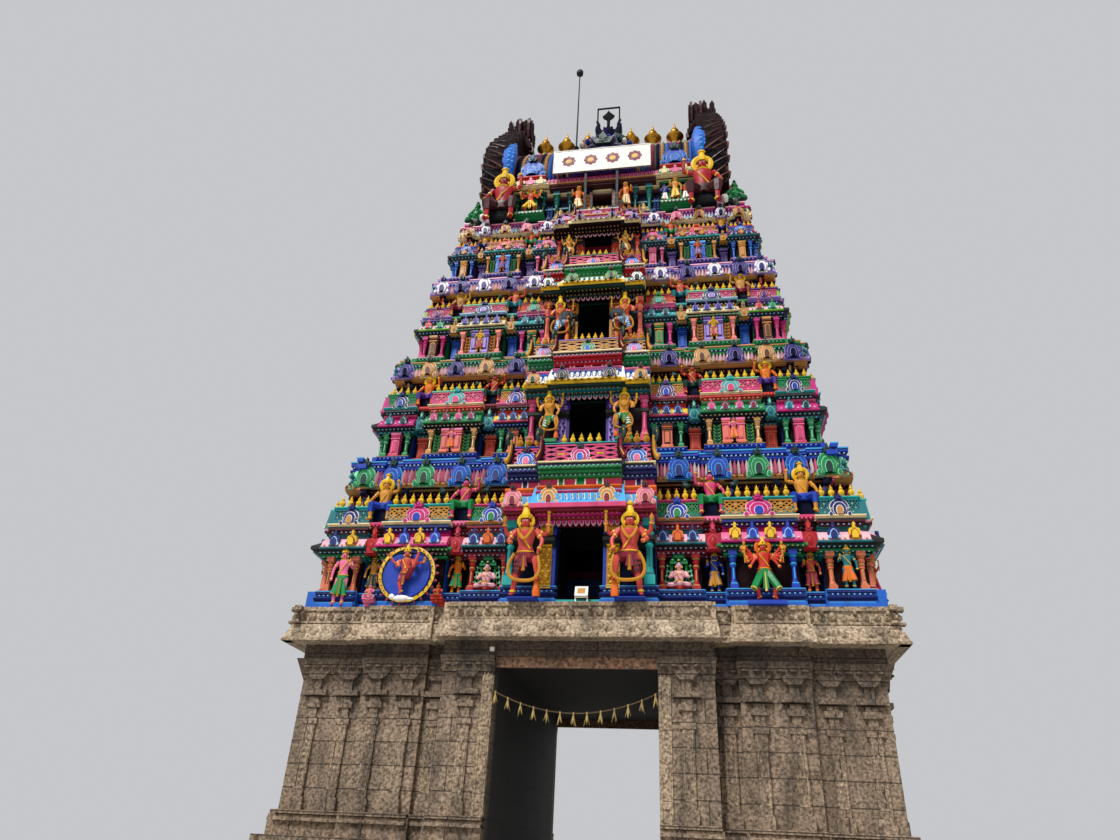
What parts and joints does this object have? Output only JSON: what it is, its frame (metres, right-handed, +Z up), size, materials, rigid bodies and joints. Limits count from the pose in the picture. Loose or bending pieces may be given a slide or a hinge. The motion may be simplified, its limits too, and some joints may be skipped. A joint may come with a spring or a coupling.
{
  "type": "gopuram gateway tower",
  "caption": "Painted temple gateway tower: a granite base with a through passage, four hollow storeys with doorways and balconies, and a barrel roof with end gables and ridge finials.",
  "frame": {"origin": "on the ground at the centre of the plan", "axes": "+Z up, the front faces -Y, +X to the right of someone who faces the front"},
  "size_m": [12.514, 8.64, 27.38],
  "materials": {
    "granite": "weathered, dressed",
    "painted_stucco": "enamel paint on lime stucco",
    "painted_cornice": "enamel paint on lime stucco",
    "dark_stucco": "dark enamel paint on lime stucco",
    "gilded_copper": "gilded, weathered",
    "painted_steel": "painted, dull",
    "white_board": "painted sheet, satin",
    "dry_fibre": "dry, rough"
  },
  "bodies": {
    "root": {"base_left_pier": "granite", "base_right_pier": "granite", "base_lintel_course": "granite", "base_cornice": "granite", "storey1_front_left_wall": "painted_stucco", "storey1_front_right_wall": "painted_stucco", "storey1_back_left_wall": "painted_stucco", "storey1_back_right_wall": "painted_stucco", "storey1_left_wall": "painted_stucco", "storey1_right_wall": "painted_stucco", "storey1_cornice": "painted_cornice", "storey2_front_left_wall": "painted_stucco", "storey2_front_right_wall": "painted_stucco", "storey2_back_left_wall": "painted_stucco", "storey2_back_right_wall": "painted_stucco", "storey2_left_wall": "painted_stucco", "storey2_right_wall": "painted_stucco", "storey2_cornice": "painted_cornice", "storey3_front_left_wall": "painted_stucco", "storey3_front_right_wall": "painted_stucco", "storey3_back_left_wall": "painted_stucco", "storey3_back_right_wall": "painted_stucco", "storey3_left_wall": "painted_stucco", "storey3_right_wall": "painted_stucco", "storey3_cornice": "painted_cornice", "storey4_front_left_wall": "painted_stucco", "storey4_front_right_wall": "painted_stucco", "storey4_back_left_wall": "painted_stucco", "storey4_back_right_wall": "painted_stucco", "storey4_left_wall": "painted_stucco", "storey4_right_wall": "painted_stucco", "storey4_cornice": "painted_cornice", "neck_front_left_wall": "dark_stucco", "neck_front_right_wall": "dark_stucco", "neck_back_left_wall": "dark_stucco", "neck_back_right_wall": "dark_stucco", "roof_eaves": "painted_cornice", "roof_vault": "painted_stucco", "left_gable": "dark_stucco", "right_gable": "dark_stucco", "finial_1": "gilded_copper", "finial_2": "gilded_copper", "finial_3": "gilded_copper", "finial_4": "gilded_copper", "finial_5": "gilded_copper", "finial_6": "gilded_copper", "finial_7": "gilded_copper", "ridge_frame": "painted_steel", "board_posts": "painted_steel", "board": "white_board", "ridge_rod": "painted_steel", "loudspeaker_left": "painted_steel", "loudspeaker_right": "painted_steel", "floodlight": "white_board", "garland_string": "dry_fibre", "leaf_bundles": "dry_fibre"}
  },
  "joints": []
}
